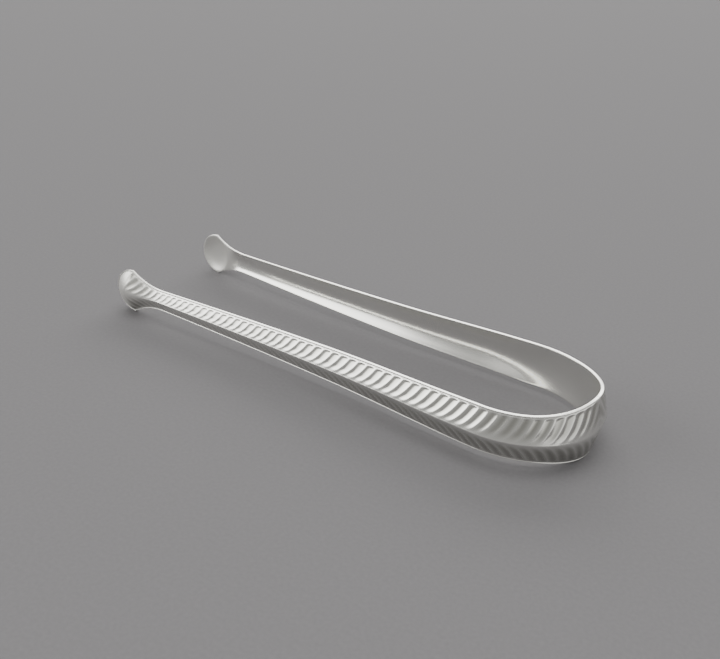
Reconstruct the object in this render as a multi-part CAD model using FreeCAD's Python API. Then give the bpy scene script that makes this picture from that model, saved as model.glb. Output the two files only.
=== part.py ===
import FreeCAD, Part
import math
import os

Vector = FreeCAD.Vector

# Ice tongs: one springy silver strip on edge, bent into a U, with a spoon bowl at each tip.
# Millimetres. +X runs from the bowls to the crown of the bow, +Z is up, and Z = 0 is the table.
# The origin is under the middle of the overall box. Left is the -Y side, right the +Y side.

# Plan of the strip's outer edge
LENGTH = 180.0              # bowl tips to the outside of the crown
BOW_REACH = 27.0            # arc ends to the crown's edge, along X
BOW_HALF_SPAN = 22.5        # centre line to the edge where the arc ends
WAIST_HALF_GAP = 20.8       # centre line to the edge where the arms are closest
WAIST_SHARE = 0.37          # the waist's place along an arm, from the arc end to the tip
TIP_HALF_GAP = 23.1         # centre line to the edge at the tips

# Height of the strip, edge to edge
CROWN_WIDTH = 19.8
SHOULDER_WIDTH = 15.2       # where the arc ends
NECK_WIDTH = 8.0            # just before the bowl
CROWN_SPREAD = 1.6          # larger values keep the broadening closer to the crown

# How far the spine stands out from the edges
CROWN_DEPTH = 1.8
SHOULDER_DEPTH = 3.5
NECK_DEPTH = 1.7
BOWL_DEPTH = 3.4

# Bowls
BOWL_DIAMETER = 16.2
NECK_LENGTH = 22.2          # neck to the tip
NECK_FLARE = 2.2            # how late the neck opens into the bowl

# Sheet
WALL = 1.2
EDGE_THICKNESS = 1.3        # the rolled edge is a little thicker than the sheet
RIM_WIDTH = 1.1             # plain raised border along both edges of the outer face
RIM_STEP = 0.2
FLANK_ROUND = 0.35          # 0 is a flat flank from rim to spine, 1 a fully round back
REST_FLAT = 0.12            # worn flat where the strip rests on the table

# Where the strip is divided
CROWN_ANGLE = 45.0          # the crown takes this much of the arc on each side
SECTION_STEP = 7.5          # degrees of arc between sections
ARM_SECTIONS = 9
BOWL_SECTIONS = 9
TIP_ANGLE = 8.0             # the last section's angle round the bowl's rounded end

BOWL_RADIUS = BOWL_DIAMETER / 2
BOW_X = LENGTH / 2 - CROWN_DEPTH - BOW_REACH
TIP_X = -LENGTH / 2
ARM_RUN = BOW_X - TIP_X
NECK_X = TIP_X + NECK_LENGTH
BOWL_X = TIP_X + BOWL_RADIUS * math.cos(math.radians(TIP_ANGLE))
CROWN_Z = CROWN_WIDTH / 2 - REST_FLAT
TIP_Z = BOWL_RADIUS - REST_FLAT


def smooth(t):
    return t * t * (3 - 2 * t)


def mix(a, b, t):
    return a + (b - a) * t


def spine_height(x):
    """The spine runs straight from the bowls to the crown."""
    return mix(TIP_Z, CROWN_Z, (x - TIP_X) / (BOW_X + BOW_REACH - TIP_X))


def half_gap(x):
    """Edge of the left or right arm, measured from the centre line."""
    share = (BOW_X - x) / ARM_RUN
    if share < WAIST_SHARE:
        return mix(BOW_HALF_SPAN, WAIST_HALF_GAP, smooth(share / WAIST_SHARE))
    return mix(WAIST_HALF_GAP, TIP_HALF_GAP, ((share - WAIST_SHARE) / (1 - WAIST_SHARE)) ** 2)


def wire(points_by_edge):
    """Closed wire of straight edges (two points) and quadratic curves (three points)."""
    edges = []
    for points in points_by_edge:
        if len(points) == 2:
            edges.append(Part.LineSegment(points[0], points[1]).toShape())
        else:
            curve = Part.BezierCurve()
            curve.setPoles(points)
            edges.append(curve.toShape())
    return Part.Wire(edges)


def section(x, y, outward, width, depth, roundness, rim_step):
    """Channel section of the strip at one place of the plan, standing on edge.

    outward is the unit normal of the plan curve; with a rim step the outer face has its raised border."""
    base = Vector(x, y, spine_height(x))
    half = width / 2

    def at(out, up):
        return base + outward * out + Vector(0, 0, up)

    inner_middle = depth - WALL
    inner_pole = 2 * inner_middle + EDGE_THICKNESS
    spine = at(depth, 0)
    if rim_step:
        border = half - RIM_WIDTH
        border_out = depth * RIM_WIDTH / half
        bed_out = border_out - rim_step
        flank_pole = mix((bed_out + depth) / 2, depth, roundness)
        lower_edges = [[at(0, -half), at(border_out, -border)],
                       [at(border_out, -border), at(bed_out, -border)],
                       [at(bed_out, -border), at(flank_pole, -border / 2), spine]]
        upper_edges = [[spine, at(flank_pole, border / 2), at(bed_out, border)],
                       [at(bed_out, border), at(border_out, border)],
                       [at(border_out, border), at(0, half)]]
    else:
        flank_pole = mix(depth / 2, depth, roundness)
        lower_edges = [[at(0, -half), at(flank_pole, -half / 2), spine]]
        upper_edges = [[spine, at(flank_pole, half / 2), at(0, half)]]
    inside = [[at(0, half), at(-EDGE_THICKNESS, half)],
              [at(-EDGE_THICKNESS, half), at(inner_pole, 0), at(-EDGE_THICKNESS, -half)],
              [at(-EDGE_THICKNESS, -half), at(0, -half)]]
    return wire(lower_edges + upper_edges + inside)


def bow_section(angle):
    """Section of the bow; angle 0 is the crown, -90 the left arc end and 90 the right one."""
    turn = math.radians(angle)
    x = BOW_X + BOW_REACH * math.cos(turn)
    y = BOW_HALF_SPAN * math.sin(turn)
    outward = Vector(BOW_HALF_SPAN * math.cos(turn), BOW_REACH * math.sin(turn), 0).normalize()
    to_crown = 1 - abs(angle) / 90
    spread = (1 - math.cos(math.pi * to_crown ** CROWN_SPREAD)) / 2
    width = mix(SHOULDER_WIDTH, CROWN_WIDTH, spread)
    depth = mix(SHOULDER_DEPTH, CROWN_DEPTH, to_crown ** 2)
    return section(x, y, outward, width, depth, FLANK_ROUND, RIM_STEP)


def arm_place(x):
    """Edge point and outward normal of the left arm."""
    reach = 0.05
    slope = (half_gap(x + reach) - half_gap(x - reach)) / (2 * reach)
    outward = Vector(slope, -1, 0).normalize()
    return -half_gap(x), outward


def arm_section(x):
    y, outward = arm_place(x)
    share = (BOW_X - x) / (BOW_X - NECK_X)
    width = mix(SHOULDER_WIDTH, NECK_WIDTH, share)
    depth = mix(SHOULDER_DEPTH, NECK_DEPTH, share)
    return section(x, y, outward, width, depth, FLANK_ROUND, RIM_STEP)


def neck_section(x):
    """Between the neck and the bowl's widest place the strip flares and deepens."""
    y, outward = arm_place(x)
    opened = (NECK_X - x) / (NECK_X - BOWL_X)
    width = mix(NECK_WIDTH, BOWL_DIAMETER, opened ** NECK_FLARE)
    depth = mix(NECK_DEPTH, BOWL_DEPTH, smooth(opened))
    return section(x, y, outward, width, depth, mix(FLANK_ROUND, 1, smooth(opened)), 0)


def bowl_end_section(angle):
    """Round the bowl's end: 90 degrees at its widest place, 0 at the tip."""
    turn = math.radians(angle)
    x = BOWL_X - BOWL_RADIUS * math.cos(turn)
    y, outward = arm_place(x)
    width = BOWL_DIAMETER * math.sin(turn)
    depth = BOWL_DEPTH * math.sin(turn) ** 2
    return section(x, y, outward, width, depth, 1, 0)


def steps(first, last, count):
    return [mix(first, last, i / (count - 1)) for i in range(count)]


def arc_steps(first, last):
    return steps(first, last, round(abs(last - first) / SECTION_STEP) + 1)


def strip(sections):
    """Solid through the sections, with a flat where it would pass below the table."""
    solid = Part.makeLoft(sections, True, False)
    table = Part.makeBox(LENGTH, LENGTH, LENGTH, Vector(-LENGTH / 2, -LENGTH / 2, -LENGTH))
    if solid.common(table).Volume > 0:
        solid = solid.cut(table).Solids[0]
    return solid


def mirrored(shape):
    return shape.mirror(Vector(0, 0, 0), Vector(0, 1, 0))


def left_half():
    """The -Y side, from the end of the crown to the bowl's tip."""
    end_angles = steps(90, TIP_ANGLE, BOWL_SECTIONS)
    neck_places = steps(NECK_X, BOWL_X, BOWL_SECTIONS)
    return {
        "shoulder": strip([bow_section(a) for a in arc_steps(-CROWN_ANGLE, -90)]),
        "arm": strip([arm_section(x) for x in steps(BOW_X, NECK_X, ARM_SECTIONS)]),
        "bowl": strip([neck_section(x) for x in neck_places] + [bowl_end_section(a) for a in end_angles[1:]]),
    }


def main():
    os.makedirs("parts", exist_ok=True)
    nodes = {"bow_crown": strip([bow_section(a) for a in arc_steps(-CROWN_ANGLE, CROWN_ANGLE)])}
    for name, shape in left_half().items():
        nodes["left_" + name] = shape
        nodes["right_" + name] = mirrored(shape)
    for name, shape in nodes.items():
        box = shape.BoundBox
        shape.exportStep("parts/" + name + ".step")
        print(name, shape.isValid(), round(shape.Volume, 1), "mm3, X %.2f..%.2f Y %.2f..%.2f Z %.2f..%.2f" % (
            box.XMin, box.XMax, box.YMin, box.YMax, box.ZMin, box.ZMax))


main()
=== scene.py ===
import math

import bpy
import numpy as np
from mathutils import Matrix, Vector


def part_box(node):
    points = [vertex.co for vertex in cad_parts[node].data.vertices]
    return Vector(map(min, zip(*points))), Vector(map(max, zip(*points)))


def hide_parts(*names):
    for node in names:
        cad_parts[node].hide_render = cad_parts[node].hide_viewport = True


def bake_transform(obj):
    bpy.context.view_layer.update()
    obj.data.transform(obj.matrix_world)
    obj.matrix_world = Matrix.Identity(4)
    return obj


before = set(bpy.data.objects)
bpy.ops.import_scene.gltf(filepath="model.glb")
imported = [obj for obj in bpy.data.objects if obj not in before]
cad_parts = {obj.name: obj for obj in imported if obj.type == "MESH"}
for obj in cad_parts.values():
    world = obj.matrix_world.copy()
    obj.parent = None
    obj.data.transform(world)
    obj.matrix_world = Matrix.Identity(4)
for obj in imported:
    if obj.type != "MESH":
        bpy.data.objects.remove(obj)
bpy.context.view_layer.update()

# Ice tongs: one strip of silver standing on edge, bent into a U, fluted outside and dished at the tips.
# Metres, in the frame of the CAD model. Left is the -Y side. The strip is built as two mirrored halves
# that meet at the crown of the bow.

MM = 0.001

# Places read from the frame
ARM_LOW, ARM_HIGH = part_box("left_arm")
BOWL_LOW, BOWL_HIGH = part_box("left_bowl")
BOW_LOW, BOW_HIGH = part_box("bow_crown")
TIP_X = BOWL_LOW.x                      # the bowls' outer ends
BOW_X = ARM_HIGH.x                      # where the arc of the bow starts
REST_FLAT = 0.12 * MM                   # ground off the lower edge, so that the strip stands on a flat
CROWN_WIDTH = BOW_HIGH.z - BOW_LOW.z + REST_FLAT
BOWL_RADIUS = (BOWL_HIGH.z - BOWL_LOW.z + REST_FLAT) / 2

# Plan of the strip's outer edge
CROWN_DEPTH = 1.8 * MM                  # how far the spine stands out of the edges at the crown
CROWN_TRIM = 0.13 * MM                  # keeps the spine's bead inside the CAD model's box
BOW_REACH = BOW_HIGH.x - CROWN_TRIM - CROWN_DEPTH - BOW_X
BOW_HALF_SPAN = 22.5 * MM
WAIST_HALF_GAP = 20.8 * MM
WAIST_SHARE = 0.37
TIP_HALF_GAP = 23.1 * MM
ARM_RUN = BOW_X - TIP_X

# Height and hollow of the strip
SHOULDER_WIDTH = 15.2 * MM
NECK_WIDTH = 8.0 * MM
NECK_LENGTH = 22.2 * MM
NECK_FLARE = 2.2
CROWN_SPREAD = 1.6
SHOULDER_DEPTH = 3.5 * MM
NECK_DEPTH = 1.7 * MM
BOWL_DEPTH = 3.4 * MM
FLANK_ROUND = 0.35                      # 0 gives straight flanks, 1 a full arc
TAPER_EASE = 0.04                       # share of the arm over which its taper sets in
WALL = 1.2 * MM
EDGE_THICKNESS = 1.1 * MM

# Border of the outer face
CORNER = 0.13 * MM                      # rounding of the upper edge's corners
FOOT_CORNER = 0.22 * MM                 # rounding of the edge that the tongs lie on
RIM_HEIGHT = 0.54 * MM                  # upright face beside the edge
GROOVE_INSET = 0.40 * MM
GROOVE_HALF_WIDTH = 0.19 * MM
GROOVE_DEPTH = 0.14 * MM
SPINE_BEAD = 0.05 * MM
SPINE_BEAD_WIDTH = 0.22 * MM

# Flutes: spacing along the bow, the near half of the arm, the far half and the bowl
FLUTE_PLACES = np.array([0, 44, 56, 98, 110, 152, 162, 200]) * MM
FLUTE_PITCHES = np.array([3.14, 3.14, 3.40, 3.40, 3.04, 3.04, 2.51, 2.51]) * MM
FIRST_FLUTE = 0.235                     # share of a flute left at the crown
BOW_LEAN = 0.8                          # flutes lean less on the bow than on the arms
LEAN_START = 38 * MM                    # along the strip from the crown
LEAN_RUN = 14 * MM
WEAKEST_FLUTE = 0.4                     # share of the depth that the narrowest flutes keep
FLUTES_START_FADING = 9.0 * MM          # from the tip
FLUTES_END = 5.0 * MM
FULL_FLUTE_HALF = 6.6 * MM              # half width of the strip from which the flutes have their full depth
SATIN_TIP = 34.0 * MM                   # the outside turns satin over this length before the tip
CROWN_SOFTNESS = 1.5 * MM               # rounds the flutes where they meet their mirror image

# Inside of the arms, the bow and the bowls
CHANNEL_END = 13.6 * MM                 # from the tip to the end of the arm's inner hollow
CHANNEL_STEP = 5.0 * MM
BOW_INSIDE = 0.35                       # share of the hollow that is left inside the bow
BOW_INSIDE_START = 28 * MM              # along the strip from the crown
BOW_INSIDE_END = 62 * MM
TIP_EDGE = 0.85 * MM                    # edge thickness at the bowl
THINNING_START = 100 * MM               # along the strip, where the edge starts to thin toward the bowl
THINNING_RUN = 70 * MM
BOW_SATIN = 0.2                         # how satin the inside of the bow is, beside 1 in the bowls
INNER_BLEND = 0.25 * MM                 # softness of the line where channel and dish meet
INNER_OFFSET = 0.12 * MM
LIP_BLEND = 0.012                       # softness of the dish's rim
SADDLE_SHARE = 0.50                     # hollow that is left between the channel and the dish
DISH_CENTRE = 7.0 * MM                  # from the tip
DISH_LENGTH = 6.6 * MM                  # half length
DISH_LIP = 0.7 * MM
DISH_SHARE = 0.55                       # of the depth that the wall leaves

# Mesh
STATION_STEP = 0.25 * MM
NECK_STEP = 0.16 * MM
TIP_STEPS = 56
BOW_ARC = 39 * MM                       # length of half the bow, for spacing its stations
SLOPE_STEP = 0.05 * MM                  # to either side, for the plan's direction
LAST_TURN = 2.5                         # degrees short of the tip at which the end cap stands

NECK_X = TIP_X + NECK_LENGTH
BOWL_X = TIP_X + BOWL_RADIUS
CROWN_Z = CROWN_WIDTH / 2 - REST_FLAT
TIP_Z = BOWL_RADIUS - REST_FLAT


def smooth(t):
    """Smooth step from 0 to 1."""
    t = np.clip(t, 0.0, 1.0)
    return t * t * (3 - 2 * t)


def mix(a, b, t):
    return a + (b - a) * t


def eased_start(t):
    """A straight run from 0 to 1 that sets out gently, so the arm's taper leaves the bow without a crease."""
    return (np.sqrt(t * t + TAPER_EASE ** 2) - TAPER_EASE) / (math.sqrt(1 + TAPER_EASE ** 2) - TAPER_EASE)


def half_gap(x):
    """Distance of an arm's edge from the centre line."""
    share = (BOW_X - x) / ARM_RUN
    near = mix(BOW_HALF_SPAN, WAIST_HALF_GAP, smooth(share / WAIST_SHARE))
    far = mix(WAIST_HALF_GAP, TIP_HALF_GAP, np.clip((share - WAIST_SHARE) / (1 - WAIST_SHARE), 0, 1) ** 2)
    return np.where(share < WAIST_SHARE, near, far)


class Stations:
    """Everything that varies along the left half of the strip, one value per station from crown to tip."""

    def __init__(self):
        angles = np.linspace(0, math.pi / 2, 1 + int(BOW_ARC / STATION_STEP))
        arm_x = np.arange(BOW_X, NECK_X, -STATION_STEP)[1:]
        neck_x = np.arange(NECK_X, BOWL_X, -NECK_STEP)
        turns = np.radians(np.linspace(90, LAST_TURN, TIP_STEPS))
        end_x = BOWL_X - BOWL_RADIUS * np.cos(turns)
        x_arm = np.concatenate([arm_x, neck_x, end_x])

        slope = (half_gap(x_arm + SLOPE_STEP) - half_gap(x_arm - SLOPE_STEP)) / (2 * SLOPE_STEP)
        length = np.hypot(slope, 1)
        self.x = np.concatenate([BOW_X + BOW_REACH * np.cos(angles), x_arm])
        self.y = np.concatenate([-BOW_HALF_SPAN * np.sin(angles), -half_gap(x_arm)])
        bow_normal = np.hypot(BOW_HALF_SPAN * np.cos(angles), BOW_REACH * np.sin(angles))
        self.out_x = np.concatenate([BOW_HALF_SPAN * np.cos(angles) / bow_normal, slope / length])
        self.out_y = np.concatenate([-BOW_REACH * np.sin(angles) / bow_normal, -1 / length])
        self.z = mix(TIP_Z, CROWN_Z, (self.x - TIP_X) / (BOW_X + BOW_REACH - TIP_X))
        self.along = np.concatenate([[0], np.cumsum(np.hypot(np.diff(self.x), np.diff(self.y)))])
        self.from_tip = self.x - TIP_X

        to_crown = 1 - angles / (math.pi / 2)
        spread = (1 - np.cos(math.pi * to_crown ** CROWN_SPREAD)) / 2
        share = eased_start((BOW_X - arm_x) / (BOW_X - NECK_X))
        opened = (NECK_X - neck_x) / (NECK_X - BOWL_X)
        self.half = np.concatenate([
            mix(SHOULDER_WIDTH, CROWN_WIDTH, spread),
            mix(SHOULDER_WIDTH, NECK_WIDTH, share),
            mix(NECK_WIDTH, 2 * BOWL_RADIUS, opened ** NECK_FLARE),
            2 * BOWL_RADIUS * np.sin(turns)]) / 2
        self.depth = np.concatenate([
            mix(SHOULDER_DEPTH, CROWN_DEPTH, (1 - eased_start(1 - to_crown)) ** 2),
            mix(SHOULDER_DEPTH, NECK_DEPTH, share),
            mix(NECK_DEPTH, BOWL_DEPTH, smooth(opened)),
            np.full(TIP_STEPS, BOWL_DEPTH)])
        self.at_end = np.arange(len(self.x)) >= len(self.x) - TIP_STEPS
        before_neck = np.zeros(len(angles) + len(arm_x))
        self.bowl_share = np.concatenate([before_neck, smooth(opened), np.ones(TIP_STEPS)])
        self.roundness = mix(FLANK_ROUND, 1, self.bowl_share)


def inset_from_edge(st, up):
    """Distance of a point from the strip's outline, measured square to it round the bowl's end."""
    straight = st.half[:, None] - np.abs(up)
    centre = (st.from_tip - BOWL_RADIUS)[:, None]
    round_end = BOWL_RADIUS - np.hypot(centre, up)
    return np.where(st.at_end[:, None], round_end, straight)


def rounded(inset, radius):
    """Cut back of a rounded corner at a distance from the edge."""
    corner = np.clip(1 - inset / radius, 0, 1)
    return radius * (1 - np.sqrt(1 - corner ** 2))


def outer_face(st, up):
    """How far the smooth outer face stands out at each height above the spine."""
    inset = np.maximum(inset_from_edge(st, up), 0)
    reach = np.where(st.at_end, BOWL_RADIUS, st.half)[:, None]
    rise = 1 - np.clip(inset - RIM_HEIGHT, 0, None) / (reach - RIM_HEIGHT)
    out = st.depth[:, None] * (1 - rise) * (1 + st.roundness[:, None] * rise)
    out -= GROOVE_DEPTH * np.exp(-((inset - GROOVE_INSET) / GROOVE_HALF_WIDTH) ** 2)
    out -= rounded(inset, np.where(up > 0, CORNER, FOOT_CORNER))
    out += SPINE_BEAD * np.exp(-(up / SPINE_BEAD_WIDTH) ** 2) * (1 - st.bowl_share[:, None])
    return out, inset, np.clip(1 - inset / reach, 0, 1)


def inner_face(st, up):
    """The inside: a smooth channel in the arm, a low saddle at the neck and a round dish in the bowl."""
    inset = np.maximum(inset_from_edge(st, up), 0)
    across = np.abs(up) / st.half[:, None]
    edge = mix(EDGE_THICKNESS, TIP_EDGE, smooth((st.along - THINNING_START) / THINNING_RUN))[:, None]
    hollow = (st.depth - WALL)[:, None] + edge
    in_bow = mix(BOW_INSIDE, 1, smooth((st.along - BOW_INSIDE_START) / (BOW_INSIDE_END - BOW_INSIDE_START)))
    in_arm = smooth((st.from_tip - CHANNEL_END) / CHANNEL_STEP)
    share = (in_bow * mix(SADDLE_SHARE, 1, in_arm) * (1 - smooth(st.bowl_share * 1.6)))[:, None]
    channel = hollow * share * (1 - across ** 2)
    dish_reach = BOWL_RADIUS - DISH_LIP
    radius = np.hypot((st.from_tip - DISH_CENTRE)[:, None] / DISH_LENGTH, up / dish_reach)
    bowl = 1 - radius ** 3
    dish = DISH_SHARE * hollow * (bowl + np.sqrt(bowl ** 2 + LIP_BLEND)) / 2
    gap = channel - dish
    out = -edge + (channel + dish + np.sqrt(gap ** 2 + INNER_BLEND ** 2)) / 2 - INNER_OFFSET
    return out + rounded(inset, np.where(up > 0, 1.5 * CORNER, 0.8 * FOOT_CORNER))


def face_heights(st):
    """Heights above the spine of the outer face's points, lower edge to upper, close-set at edge and spine."""
    edge = np.array([0, 0.03, 0.07, 0.13, 0.19, 0.25, 0.31, 0.37,
                     0.43, 0.50, 0.59, 0.70, 0.84, 1.00, 1.20]) * MM
    reach = edge[-1]
    body = np.linspace(0, 1, 20)[1:] ** 0.85
    edge_share = np.minimum(1, 0.42 * st.half / reach)
    insets = np.concatenate([edge[None] * edge_share[:, None],
                             reach * edge_share[:, None]
                             + (st.half - reach * edge_share)[:, None] * body[None]], axis=1)
    upper = st.half[:, None] - insets
    return np.concatenate([-upper[:, :-1], upper[:, ::-1]], axis=1)


def strip_half(name, side):
    """Closed mesh of one half of the strip, with the fields that place the flutes; side is -1 left, 1 right."""
    st = Stations()
    count = len(st.x)
    up = face_heights(st)
    out, inset, rise = outer_face(st, up)
    land = np.linspace(0, 1, 6)[1:-1]
    inner_up = st.half[:, None] * np.sin(np.linspace(math.pi / 2, -math.pi / 2, 25))[None]
    inner_out = inner_face(st, inner_up)
    top_land = mix(out[:, -1:], inner_out[:, :1], land[None])
    low_land = mix(inner_out[:, -1:], out[:, :1], land[None])
    land_up = np.repeat(st.half[:, None], len(land), axis=1)
    loop_out = np.concatenate([out, top_land, inner_out, low_land], axis=1)
    loop_up = np.concatenate([up, land_up, inner_up, -land_up], axis=1)
    ring = loop_out.shape[1]
    outer = up.shape[1]

    x = st.x[:, None] + st.out_x[:, None] * loop_out
    y = (st.y[:, None] + st.out_y[:, None] * loop_out) * -side
    z = np.maximum(st.z[:, None] + loop_up, 0)
    points = np.stack([x, y, z], axis=2).reshape(-1, 3)

    first = np.arange(count - 1)[:, None] * ring + np.arange(ring)[None]
    beside = np.arange(count - 1)[:, None] * ring + (np.arange(ring)[None] + 1) % ring
    quads = np.stack([first, beside, beside + ring, first + ring], axis=2).reshape(-1, 4)
    if side > 0:
        quads = quads[:, ::-1]
    mesh = bpy.data.meshes.new(name)
    faces = quads.tolist()
    cap = list(range(ring))
    end = list(range((count - 1) * ring, count * ring))
    if side > 0:
        faces += [cap, end[::-1]]
    else:
        faces += [cap[::-1], end]
    mesh.from_pydata(points.tolist(), [], faces)
    mesh.validate()
    mesh.shade_smooth()
    for flat in mesh.polygons[-2:]:
        flat.use_smooth = False

    on_back = np.zeros((count, ring))
    on_back[:, :outer] = 1
    plain_end = smooth((st.from_tip - FLUTES_END) / (FLUTES_START_FADING - FLUTES_END))[:, None]
    pitch = np.interp(st.along, FLUTE_PLACES, FLUTE_PITCHES)
    softened = np.sqrt(st.along ** 2 + CROWN_SOFTNESS ** 2) - CROWN_SOFTNESS
    strength = np.clip(st.half / FULL_FLUTE_HALF, WEAKEST_FLUTE, 1)
    number = FIRST_FLUTE + np.concatenate([[0], np.cumsum(np.diff(softened) / pitch[1:])])
    lean = mix(BOW_LEAN, 1, smooth((st.along - LEAN_START) / LEAN_RUN))
    back_satin = smooth((SATIN_TIP - st.from_tip) / SATIN_TIP)[:, None]
    in_bow = BOW_SATIN * (1 - smooth(st.along / BOW_INSIDE_END))
    inner_satin = np.maximum(smooth(st.bowl_share * 2), in_bow)[:, None]
    fields = {
        "number": np.repeat(number[:, None], ring, axis=1),
        "pitch": np.repeat(pitch[:, None], ring, axis=1),
        "lean": np.repeat(lean[:, None], ring, axis=1),
        "half": np.repeat(np.where(st.at_end, BOWL_RADIUS, st.half)[:, None], ring, axis=1),
        "rise": np.concatenate([rise, np.ones((count, ring - outer))], axis=1),
        "inset": np.concatenate([inset, np.zeros((count, ring - outer))], axis=1),
        "fluted": on_back * plain_end * strength[:, None],
        "satin": np.where(on_back > 0, back_satin, inner_satin),
    }
    for key, values in fields.items():
        mesh.attributes.new(key, "FLOAT", "POINT").data.foreach_set("value", values.ravel().astype(np.float32))
    outward = np.stack([st.out_x, st.out_y * -side, np.zeros(count)], axis=1)
    outward = np.repeat(outward[:, None], ring, axis=1).reshape(-1)
    direction = mesh.attributes.new("outward", "FLOAT_VECTOR", "POINT")
    direction.data.foreach_set("vector", outward.astype(np.float32))
    piece = bpy.data.objects.new(name, mesh)
    bpy.context.scene.collection.objects.link(piece)
    return piece


class Wiring:
    """Short calls for the maths of a node tree."""

    def __init__(self, tree):
        self.tree = tree

    def node(self, kind, **settings):
        made = self.tree.nodes.new(kind)
        for key, value in settings.items():
            setattr(made, key, value)
        return made

    def put(self, socket, value):
        if isinstance(value, bpy.types.NodeSocket):
            self.tree.links.new(value, socket)
        else:
            socket.default_value = value

    def math(self, operation, *values, clamp=False):
        made = self.node("ShaderNodeMath", operation=operation, use_clamp=clamp)
        for socket, value in zip(made.inputs, values):
            self.put(socket, value)
        return made.outputs[0]

    def ease(self, value):
        """Smooth step from 0 to 1 of a value that is clamped to that range."""
        t = self.math("ADD", value, 0.0, clamp=True)
        return self.math("MULTIPLY", self.math("MULTIPLY", t, t), self.math("MULTIPLY_ADD", t, -2.0, 3.0))


def flute_tree(silver):
    """Geometry nodes that press the herringbone of hollows into the outer face."""
    tree = bpy.data.node_groups.new("Press flutes", "GeometryNodeTree")
    tree.interface.new_socket("Geometry", in_out="OUTPUT", socket_type="NodeSocketGeometry")
    tree.interface.new_socket("Geometry", in_out="INPUT", socket_type="NodeSocketGeometry")
    sizes = [("Depth", 0.33 * MM), ("Sweep", 0.60), ("Curl", 0.46), ("Hollow shape", 1.75),
             ("Plain border", 0.50 * MM), ("Arch", 0.22 * MM), ("Border ramp", 0.85 * MM), ("Spine ramp", 0.36)]
    for label, value in sizes:
        tree.interface.new_socket(label, in_out="INPUT", socket_type="NodeSocketFloat").default_value = value
    w = Wiring(tree)
    source = w.node("NodeGroupInput")
    size = {label: source.outputs[label] for label, _ in sizes}

    def field(name, kind="FLOAT"):
        read = w.node("GeometryNodeInputNamedAttribute", data_type=kind)
        read.inputs["Name"].default_value = name
        return read.outputs[0]

    rise, pitch = field("rise"), field("pitch")
    fall = w.math("SUBTRACT", 1.0, rise)
    cube = w.math("POWER", fall, 3.0)
    slant = w.math("MULTIPLY", size["Sweep"], field("lean"))
    curl = w.math("MULTIPLY", size["Curl"], cube)
    curled = w.math("MULTIPLY_ADD", curl, fall, fall)
    run = w.math("MULTIPLY", w.math("MULTIPLY", slant, field("half")), curled)
    phase = w.math("SUBTRACT", field("number"), w.math("DIVIDE", run, pitch))
    place = w.math("ABSOLUTE", w.math("MULTIPLY_ADD", w.math("FRACT", phase), 2.0, -1.0))
    hollow = w.math("SUBTRACT", 1.0, w.math("POWER", place, size["Hollow shape"]))
    steepness = w.math("MULTIPLY", slant, w.math("MULTIPLY_ADD", curl, 4.0, 1.0))
    narrow = w.math("DIVIDE", 1.0, w.math("SQRT", w.math("MULTIPLY_ADD", steepness, steepness, 1.0)))
    start = w.math("MULTIPLY_ADD", w.math("MULTIPLY", place, place), size["Arch"], size["Plain border"])
    border_end = w.ease(w.math("DIVIDE", w.math("SUBTRACT", field("inset"), start), size["Border ramp"]))
    spine_end = w.ease(w.math("DIVIDE", rise, size["Spine ramp"]))
    pressed = w.math("MULTIPLY", w.math("MULTIPLY", hollow, narrow), w.math("MULTIPLY", border_end, spine_end))
    pressed = w.math("MULTIPLY", pressed, field("fluted"))

    drop = w.node("ShaderNodeVectorMath", operation="SCALE")
    w.put(drop.inputs[0], field("outward", "FLOAT_VECTOR"))
    w.put(drop.inputs["Scale"], w.math("MULTIPLY", w.math("MULTIPLY", pressed, size["Depth"]), -1.0))
    move = w.node("GeometryNodeSetPosition")
    w.put(move.inputs["Geometry"], source.outputs["Geometry"])
    w.put(move.inputs["Offset"], drop.outputs[0])
    # The pressed depth is kept as "hollow"; the silver uses it for painted shade in the hollows.
    store = w.node("GeometryNodeStoreNamedAttribute", data_type="FLOAT", domain="POINT")
    w.put(store.inputs["Geometry"], move.outputs["Geometry"])
    w.put(store.inputs["Name"], "hollow")
    w.put(store.inputs["Value"], pressed)
    real = w.node("GeometryNodeRealizeInstances")
    w.put(real.inputs["Geometry"], store.outputs["Geometry"])
    finish = w.node("GeometryNodeSetMaterial")
    w.put(finish.inputs["Geometry"], real.outputs["Geometry"])
    w.put(finish.inputs["Material"], silver)
    w.put(w.node("NodeGroupOutput").inputs["Geometry"], finish.outputs["Geometry"])
    return tree


def apply_tree(piece, tree):
    """Runs a geometry tree on a piece and keeps the result as its plain mesh."""
    press = piece.modifiers.new("Press flutes", "NODES")
    press.node_group = tree
    made = piece.evaluated_get(bpy.context.evaluated_depsgraph_get())
    mesh = bpy.data.meshes.new_from_object(made)
    piece.modifiers.remove(press)
    piece.data = mesh
    mesh.name = piece.name


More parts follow.
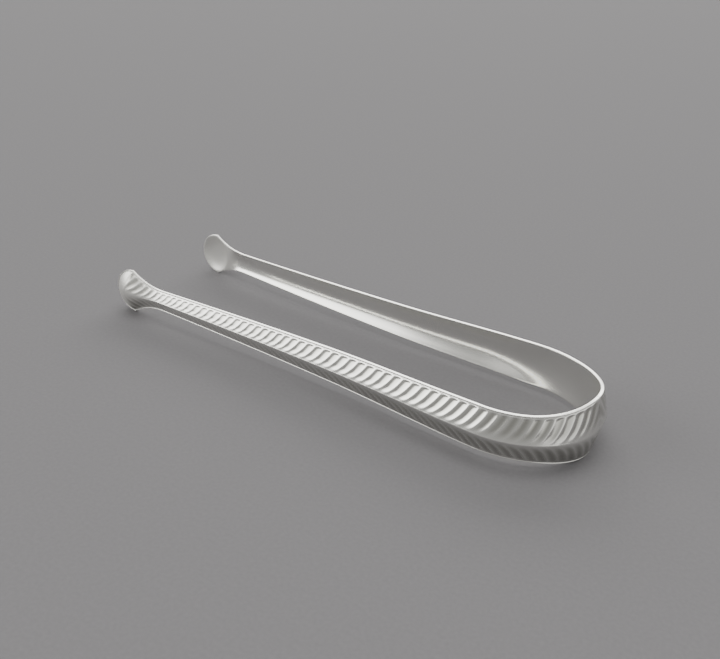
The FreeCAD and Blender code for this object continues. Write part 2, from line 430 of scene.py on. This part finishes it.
def polished_silver():
    """Polished sterling: bright metal with hairline wear, and painted shade that darkens the flutes' hollows by
    an amount varied at random.
    """
    silver = bpy.data.materials.new("polished_silver")
    silver.use_nodes = True
    w = Wiring(silver.node_tree)
    shader = silver.node_tree.nodes["Principled BSDF"]
    shader.inputs["Metallic"].default_value = 1.0
    place = w.node("ShaderNodeTexCoord").outputs["Object"]

    cloud = w.node("ShaderNodeTexNoise")
    w.put(cloud.inputs["Vector"], place)
    w.put(cloud.inputs["Scale"], 90.0)
    w.put(cloud.inputs["Detail"], 4.0)
    # Painted shade: the base colour goes darker in the flutes' hollows, by an amount the cloud noise varies at
    # random.
    hollow = w.node("ShaderNodeAttribute", attribute_name="hollow").outputs["Fac"]
    painted_hollow_shade = w.node("ShaderNodeMix", data_type="RGBA")
    shade_mottle = w.math("MULTIPLY_ADD", cloud.outputs["Fac"], 0.5, 0.6)
    w.put(painted_hollow_shade.inputs["Factor"], w.math("MULTIPLY", hollow, shade_mottle))
    w.put(painted_hollow_shade.inputs["A"], (0.93, 0.925, 0.885, 1))
    w.put(painted_hollow_shade.inputs["B"], (0.43, 0.425, 0.385, 1))
    w.put(shader.inputs["Base Color"], painted_hollow_shade.outputs["Result"])
    satin = w.node("ShaderNodeAttribute", attribute_name="satin").outputs["Fac"]
    polish = w.math("MULTIPLY_ADD", cloud.outputs["Fac"], 0.07, 0.145)
    w.put(shader.inputs["Roughness"], w.math("MULTIPLY_ADD", satin, 0.30, polish))

    stretch = w.node("ShaderNodeMapping")
    w.put(stretch.inputs["Vector"], place)
    stretch.inputs["Scale"].default_value = (0.25, 0.25, 1.0)
    hair = w.node("ShaderNodeTexNoise")
    w.put(hair.inputs["Vector"], stretch.outputs["Vector"])
    w.put(hair.inputs["Scale"], 2600.0)
    w.put(hair.inputs["Detail"], 3.0)
    bump = w.node("ShaderNodeBump")
    bump.inputs["Strength"].default_value = 0.05
    bump.inputs["Distance"].default_value = 0.05 * MM
    w.put(bump.inputs["Height"], hair.outputs["Fac"])
    w.put(shader.inputs["Normal"], bump.outputs["Normal"])
    return silver


def table_top():
    """Plain pale grey floor with a faint paper grain."""
    half = 1.5
    mesh = bpy.data.meshes.new("floor")
    corners = [(-half, -half, 0), (half, -half, 0), (half, half, 0), (-half, half, 0)]
    mesh.from_pydata(corners, [], [(0, 1, 2, 3)])
    floor = bpy.data.objects.new("floor", mesh)
    bpy.context.scene.collection.objects.link(floor)
    paper = bpy.data.materials.new("grey_paper")
    paper.use_nodes = True
    w = Wiring(paper.node_tree)
    shader = paper.node_tree.nodes["Principled BSDF"]
    grain = w.node("ShaderNodeTexNoise")
    w.put(grain.inputs["Vector"], w.node("ShaderNodeTexCoord").outputs["Object"])
    w.put(grain.inputs["Scale"], 900.0)
    ramp = w.node("ShaderNodeMix", data_type="RGBA")
    w.put(ramp.inputs["Factor"], grain.outputs["Fac"])
    w.put(ramp.inputs["A"], (0.145, 0.141, 0.147, 1))
    w.put(ramp.inputs["B"], (0.179, 0.175, 0.181, 1))
    w.put(shader.inputs["Base Color"], ramp.outputs["Result"])
    shader.inputs["Roughness"].default_value = 0.9
    mesh.materials.append(paper)


def light_tent():
    """Studio round the tongs: a white panel at the front left, another behind, and a dim room between them."""
    world = bpy.data.worlds.new("light tent")
    bpy.context.scene.world = world
    world.use_nodes = True
    w = Wiring(world.node_tree)
    split = w.node("ShaderNodeSeparateXYZ")
    w.put(split.inputs[0], w.node("ShaderNodeTexCoord").outputs["Generated"])
    x, y, z = split.outputs

    def panel(facing, half_angle, side_blur, low, low_blur, high, high_blur, strength):
        """Light from within an angle of a compass bearing (0 is -Y, 90 is -X) and a band of heights."""
        bearing = math.radians(facing)
        ahead = w.math("MULTIPLY", x, -math.sin(bearing))
        ahead = w.math("ADD", ahead, w.math("MULTIPLY", y, -math.cos(bearing)))
        flat = w.math("MAXIMUM", w.math("SQRT", w.math("SUBTRACT", 1.0, w.math("MULTIPLY", z, z))), 0.001)
        turned = w.math("ARCCOSINE", w.math("MULTIPLY", w.math("DIVIDE", ahead, flat), 0.9999))
        across = w.ease(w.math("DIVIDE", w.math("SUBTRACT", math.radians(half_angle), turned),
                               math.radians(side_blur)))
        above = w.ease(w.math("DIVIDE", w.math("SUBTRACT", z, low), low_blur))
        below = w.ease(w.math("DIVIDE", w.math("SUBTRACT", high, z), high_blur))
        return w.math("MULTIPLY", w.math("MULTIPLY", across, above), w.math("MULTIPLY", below, strength))

    lights = [
        panel(53, 34, 20, 0.15, 0.10, 0.68, 0.16, 3.9),
        panel(153, 42, 10, 0.20, 0.10, 0.70, 0.12, 4.3),
        panel(-95, 55, 30, -0.40, 0.2, 0.60, 0.30, 0.70),
        panel(85, 45, 25, -0.40, 0.2, 0.50, 0.20, 0.50),
    ]
    overhead = w.ease(w.math("DIVIDE", w.math("SUBTRACT", z, 0.78), 0.14))
    total = w.math("MULTIPLY_ADD", overhead, 2.4, 0.37)
    for light in lights:
        total = w.math("ADD", light, total)
    back = world.node_tree.nodes["Background"]
    back.inputs["Color"].default_value = (1.0, 0.995, 0.975, 1)
    w.put(back.inputs["Strength"], total)


def camera():
    """Stands at the front right of the bow and looks along the arms."""
    eye = Vector((BOW_X + 91.2 * MM, -222.66 * MM, 156.75 * MM))
    yaw, pitch, roll = math.radians(33.72), math.radians(28.32), math.radians(3.0)
    forward = Vector((-math.sin(yaw) * math.cos(pitch), math.cos(yaw) * math.cos(pitch), -math.sin(pitch)))
    level = Vector((math.cos(yaw), math.sin(yaw), 0))
    above = level.cross(forward)
    right = level * math.cos(roll) + above * math.sin(roll)
    top = above * math.cos(roll) - level * math.sin(roll)
    data = bpy.data.cameras.new("camera")
    data.lens = 45
    data.sensor_width = 36
    data.clip_start = 0.01
    cam = bpy.data.objects.new("camera", data)
    bpy.context.scene.collection.objects.link(cam)
    cam.matrix_world = Matrix((
        (right.x, top.x, -forward.x, eye.x),
        (right.y, top.y, -forward.y, eye.y),
        (right.z, top.z, -forward.z, eye.z),
        (0, 0, 0, 1)))
    bpy.context.scene.camera = cam


def tongs():
    """Both halves of the strip, pressed with flutes, in place of the CAD's shoulder, arm, bowl and crown parts,
    which are hidden.
    """
    silver = polished_silver()
    tree = flute_tree(silver)
    for side, word in ((-1, "left"), (1, "right")):
        strip = strip_half(word + "_strip", side)
        apply_tree(strip, tree)
        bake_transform(strip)
        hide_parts(word + "_shoulder", word + "_arm", word + "_bowl", "bow_crown")


camera()
table_top()
light_tent()
tongs()
